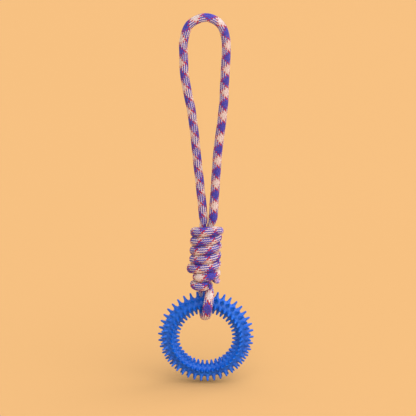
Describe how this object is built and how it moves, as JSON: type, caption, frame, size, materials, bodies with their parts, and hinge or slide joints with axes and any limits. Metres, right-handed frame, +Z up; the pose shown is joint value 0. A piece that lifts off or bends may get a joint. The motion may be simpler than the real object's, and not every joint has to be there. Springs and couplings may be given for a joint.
{
  "type": "dog chew ring",
  "caption": "Studded rubber chew ring hung in the bight of a knotted, braided rope with a long handle loop.",
  "frame": {"origin": "underside of the top of the rope handle loop, where a hand or a hook holds it", "axes": "+Z up along the hanging rope, the ring lies in the XZ plane, -Y is the side that faces the viewer"},
  "size_m": [0.1054, 0.0402, 0.43],
  "materials": {
    "purple_braid": "matte",
    "braid_core": "matte",
    "braid_end": "matte",
    "blue_rubber": "satin"
  },
  "bodies": {
    "handle": {"handle_loop": "purple_braid"},
    "knot": {"knot_winding": "purple_braid", "knot_core_front_leg": "braid_core", "knot_core_back_leg": "braid_core", "knot_tucked_strand": "purple_braid", "knot_tail_end": "braid_end"},
    "bight": {"ring_bight": "purple_braid"},
    "ring": {"chew_ring": "blue_rubber"}
  },
  "joints": [
    {"name": "handle_bend", "type": "hinge", "parent": "handle", "child": "knot", "pos_m": [0, 0, -0.22914], "axis": [1, 0, 0], "range_deg": [-70, 70]},
    {"name": "ring_sway", "type": "hinge", "parent": "knot", "child": "bight", "pos_m": [0.003, 0, -0.30984], "axis": [0, 1, 0], "range_deg": [-20, 20]},
    {"name": "ring_turn", "type": "hinge", "parent": "bight", "child": "ring", "pos_m": [0, 0, -0.368], "axis": [0, 1, 0], "continuous": true}
  ]
}
